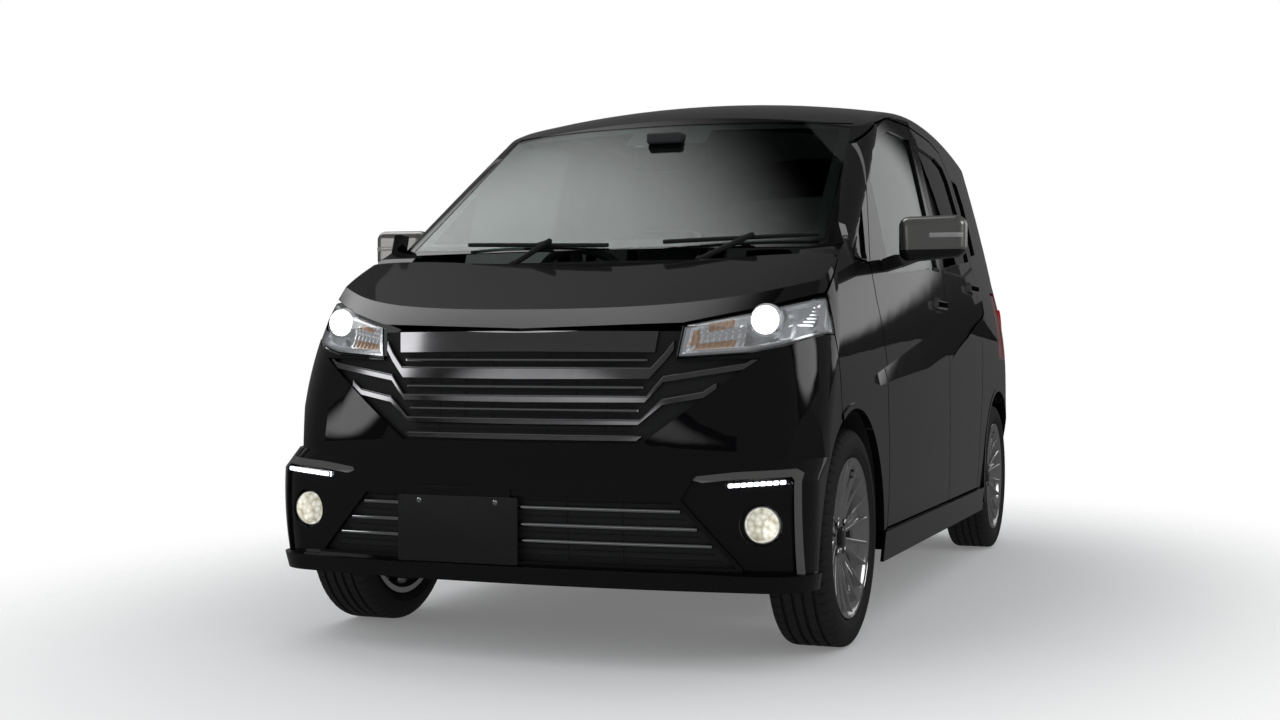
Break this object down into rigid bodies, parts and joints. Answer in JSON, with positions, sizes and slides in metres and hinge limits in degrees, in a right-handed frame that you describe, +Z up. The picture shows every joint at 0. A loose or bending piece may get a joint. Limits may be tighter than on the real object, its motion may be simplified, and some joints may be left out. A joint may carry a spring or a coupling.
{
  "type": "tall five-door kei car",
  "caption": "Tall five-door kei car with opening doors, hood and tailgate, steered front wheels and four free-turning wheels.",
  "frame": {"origin": "on the ground, at the centre of the car's length and width", "axes": "+Z up, the front faces -Y, +X is the car's left side"},
  "size_m": [1.876, 3.3952, 1.6199],
  "materials": {
    "body_paint": "gloss black metallic paint",
    "black_trim": "textured black plastic",
    "gloss_trim": "gloss black plastic",
    "dark_chrome": "dark chrome plating",
    "bright_chrome": "bright chrome plating",
    "clear_glass": "green tinted glass",
    "privacy_glass": "dark privacy glass",
    "lamp_lens": "clear lamp lens",
    "red_lens": "red lamp lens",
    "lamp_bowl": "lamp reflector",
    "tyre": "tyre rubber",
    "wheel_metal": "dark polished alloy",
    "chassis": "black chassis coating",
    "cast_metal": "cast metal",
    "exhaust_steel": "dull steel",
    "seat_cloth": "dark seat cloth",
    "cabin_plastic": "grained cabin plastic"
  },
  "bodies": {
    "body": {"floor_pan": "chassis", "side_frame_left": "body_paint", "side_frame_right": "body_paint", "roof": "body_paint", "windscreen": "clear_glass", "cowl_panel": "black_trim", "quarter_glasses": "clear_glass", "front_fenders": "body_paint", "front_bumper": "body_paint", "front_lip": "body_paint", "upper_grille": "dark_chrome", "lower_grille": "bright_chrome", "grille_backs": "black_trim", "fog_bezels": "dark_chrome", "wipers": "black_trim", "headlamp_lenses": "lamp_lens", "headlamp_housings": "lamp_bowl", "fog_lamps": "lamp_lens", "side_skirts": "body_paint", "rear_bumper": "body_paint", "tail_lamps": "red_lens", "front_arch_liners": "black_trim", "engine_block": "cast_metal", "radiator": "cast_metal", "front_subframe": "chassis", "fuel_tank": "black_trim", "exhaust": "exhaust_steel", "rear_axle": "chassis", "dashboard": "cabin_plastic", "front_seats": "seat_cloth", "rear_seat": "seat_cloth", "interior_mirror": "cabin_plastic"},
    "hood": {"hood": "body_paint"},
    "tailgate": {"tailgate": "body_paint", "tailgate_glass": "privacy_glass"},
    "steering_wheel": {"steering_wheel": "cabin_plastic"},
    "front_door_left": {"front_door_left": "body_paint", "front_door_glass_left": "clear_glass", "front_handle_left": "bright_chrome", "mirror_left": "gloss_trim"},
    "rear_door_left": {"rear_door_left": "body_paint", "rear_door_glass_left": "privacy_glass", "rear_handle_left": "bright_chrome"},
    "knuckle_left": {"knuckle_left": "cast_metal"},
    "wheel_front_left": {"rim_front_left": "wheel_metal", "tyre_front_left": "tyre"},
    "wheel_rear_left": {"rim_rear_left": "wheel_metal", "tyre_rear_left": "tyre"},
    "front_door_right": {"front_door_right": "body_paint", "front_door_glass_right": "clear_glass", "front_handle_right": "bright_chrome", "mirror_right": "gloss_trim"},
    "rear_door_right": {"rear_door_right": "body_paint", "rear_door_glass_right": "privacy_glass", "rear_handle_right": "bright_chrome"},
    "knuckle_right": {"knuckle_right": "cast_metal"},
    "wheel_front_right": {"rim_front_right": "wheel_metal", "tyre_front_right": "tyre"},
    "wheel_rear_right": {"rim_rear_right": "wheel_metal", "tyre_rear_right": "tyre"}
  },
  "joints": [
    {"name": "hood_hinge", "type": "hinge", "parent": "body", "child": "hood", "pos_m": [0, -1.075, 1.01], "axis": [-1, 0, 0], "range_deg": [0, 50]},
    {"name": "tailgate_hinge", "type": "hinge", "parent": "body", "child": "tailgate", "pos_m": [0, 1.438, 1.566], "axis": [1, 0, 0], "range_deg": [0, 80]},
    {"name": "front_door_left_hinge", "type": "hinge", "parent": "body", "child": "front_door_left", "pos_m": [0.735, -0.79, 0.6], "axis": [0, 0, -1], "range_deg": [0, 65]},
    {"name": "rear_door_left_hinge", "type": "hinge", "parent": "body", "child": "rear_door_left", "pos_m": [0.735, 0.204, 0.6], "axis": [0, 0, -1], "range_deg": [0, 65]},
    {"name": "steer_left", "type": "hinge", "parent": "body", "child": "knuckle_left", "pos_m": [0.62, -1.17, 0.281], "axis": [0, 0, 1], "range_deg": [-36, 36]},
    {"name": "wheel_front_left_spin", "type": "hinge", "parent": "knuckle_left", "child": "wheel_front_left", "pos_m": [0.65, -1.17, 0.281], "axis": [1, 0, 0], "continuous": true},
    {"name": "wheel_rear_left_spin", "type": "hinge", "parent": "body", "child": "wheel_rear_left", "pos_m": [0.645, 1.26, 0.281], "axis": [1, 0, 0], "continuous": true},
    {"name": "front_door_right_hinge", "type": "hinge", "parent": "body", "child": "front_door_right", "pos_m": [-0.735, -0.79, 0.6], "axis": [0, 0, 1], "range_deg": [0, 65]},
    {"name": "rear_door_right_hinge", "type": "hinge", "parent": "body", "child": "rear_door_right", "pos_m": [-0.735, 0.204, 0.6], "axis": [0, 0, 1], "range_deg": [0, 65]},
    {"name": "steer_right", "type": "hinge", "parent": "body", "child": "knuckle_right", "pos_m": [-0.62, -1.17, 0.281], "axis": [0, 0, 1], "range_deg": [-36, 36]},
    {"name": "wheel_front_right_spin", "type": "hinge", "parent": "knuckle_right", "child": "wheel_front_right", "pos_m": [-0.65, -1.17, 0.281], "axis": [1, 0, 0], "continuous": true},
    {"name": "wheel_rear_right_spin", "type": "hinge", "parent": "body", "child": "wheel_rear_right", "pos_m": [-0.645, 1.26, 0.281], "axis": [1, 0, 0], "continuous": true},
    {"name": "steering_wheel_turn", "type": "hinge", "parent": "body", "child": "steering_wheel", "pos_m": [-0.33, -0.43, 0.93], "axis": [0, 0.9135, 0.4067], "range_deg": [-540, 540]}
  ],
  "couplings": [
    {"joint": "steer_right", "follows": "steer_left", "ratio": 1},
    {"joint": "steering_wheel_turn", "follows": "steer_left", "ratio": 15}
  ]
}
